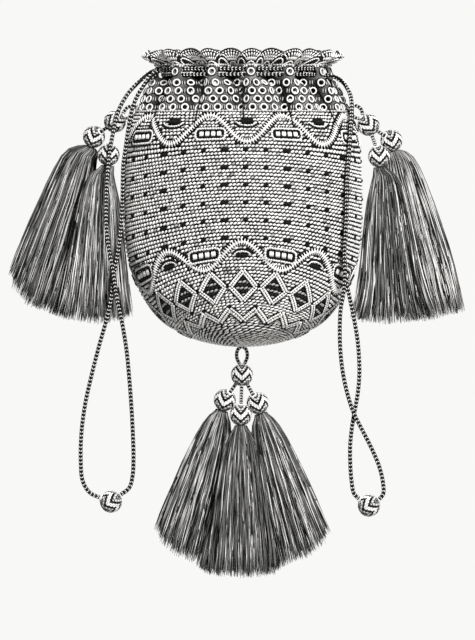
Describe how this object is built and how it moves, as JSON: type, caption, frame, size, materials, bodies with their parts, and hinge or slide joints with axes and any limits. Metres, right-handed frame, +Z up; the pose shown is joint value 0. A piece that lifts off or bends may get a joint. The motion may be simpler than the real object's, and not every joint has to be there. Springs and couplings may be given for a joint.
{
  "type": "tobacco pouch",
  "caption": "Crocheted silk drawstring tobacco pouch: plump oval bag, gathered openwork band, scalloped frill, drawcords ending in balls, and tassels hung from covered balls at sides and base.",
  "frame": {"origin": "middle of the mouth, level with the drawcords, where the gathered mouth is held", "axes": "+Z up out of the mouth, +X towards the viewer's right, front of the bag towards -Y"},
  "size_m": [0.2081, 0.079, 0.2374],
  "materials": {
    "bag_silk": "crocheted silk, soft sheen",
    "openwork_silk": "crocheted silk openwork",
    "frill_silk": "crocheted silk edging",
    "cord_silk": "crocheted silk cord, black with light stitches",
    "ball_silk": "silk crocheted over a round mould, chevrons of dark and light",
    "tassel_silk": "loose silk floss"
  },
  "bodies": {
    "root": {"pouch_body": "bag_silk", "openwork_band": "openwork_silk", "scalloped_frill": "frill_silk", "drawcord_left": "cord_silk", "drawcord_ball_left": "ball_silk", "drawcord_right": "cord_silk", "drawcord_ball_right": "ball_silk", "left_loop": "cord_silk", "left_ball": "ball_silk", "left_stem_outer": "cord_silk", "left_tassel_ball_outer": "ball_silk", "left_tassel_outer": "tassel_silk", "left_stem_inner": "cord_silk", "left_tassel_ball_inner": "ball_silk", "left_tassel_inner": "tassel_silk", "right_loop": "cord_silk", "right_ball": "ball_silk", "right_stem_outer": "cord_silk", "right_tassel_ball_outer": "ball_silk", "right_tassel_outer": "tassel_silk", "right_stem_inner": "cord_silk", "right_tassel_ball_inner": "ball_silk", "right_tassel_inner": "tassel_silk", "bottom_loop": "cord_silk", "bottom_ball": "ball_silk", "bottom_stem_left": "cord_silk", "bottom_tassel_ball_left": "ball_silk", "bottom_tassel_left": "tassel_silk", "bottom_stem_centre": "cord_silk", "bottom_tassel_ball_centre": "ball_silk", "bottom_tassel_centre": "tassel_silk", "bottom_stem_right": "cord_silk", "bottom_tassel_ball_right": "ball_silk", "bottom_tassel_right": "tassel_silk"}
  },
  "joints": []
}
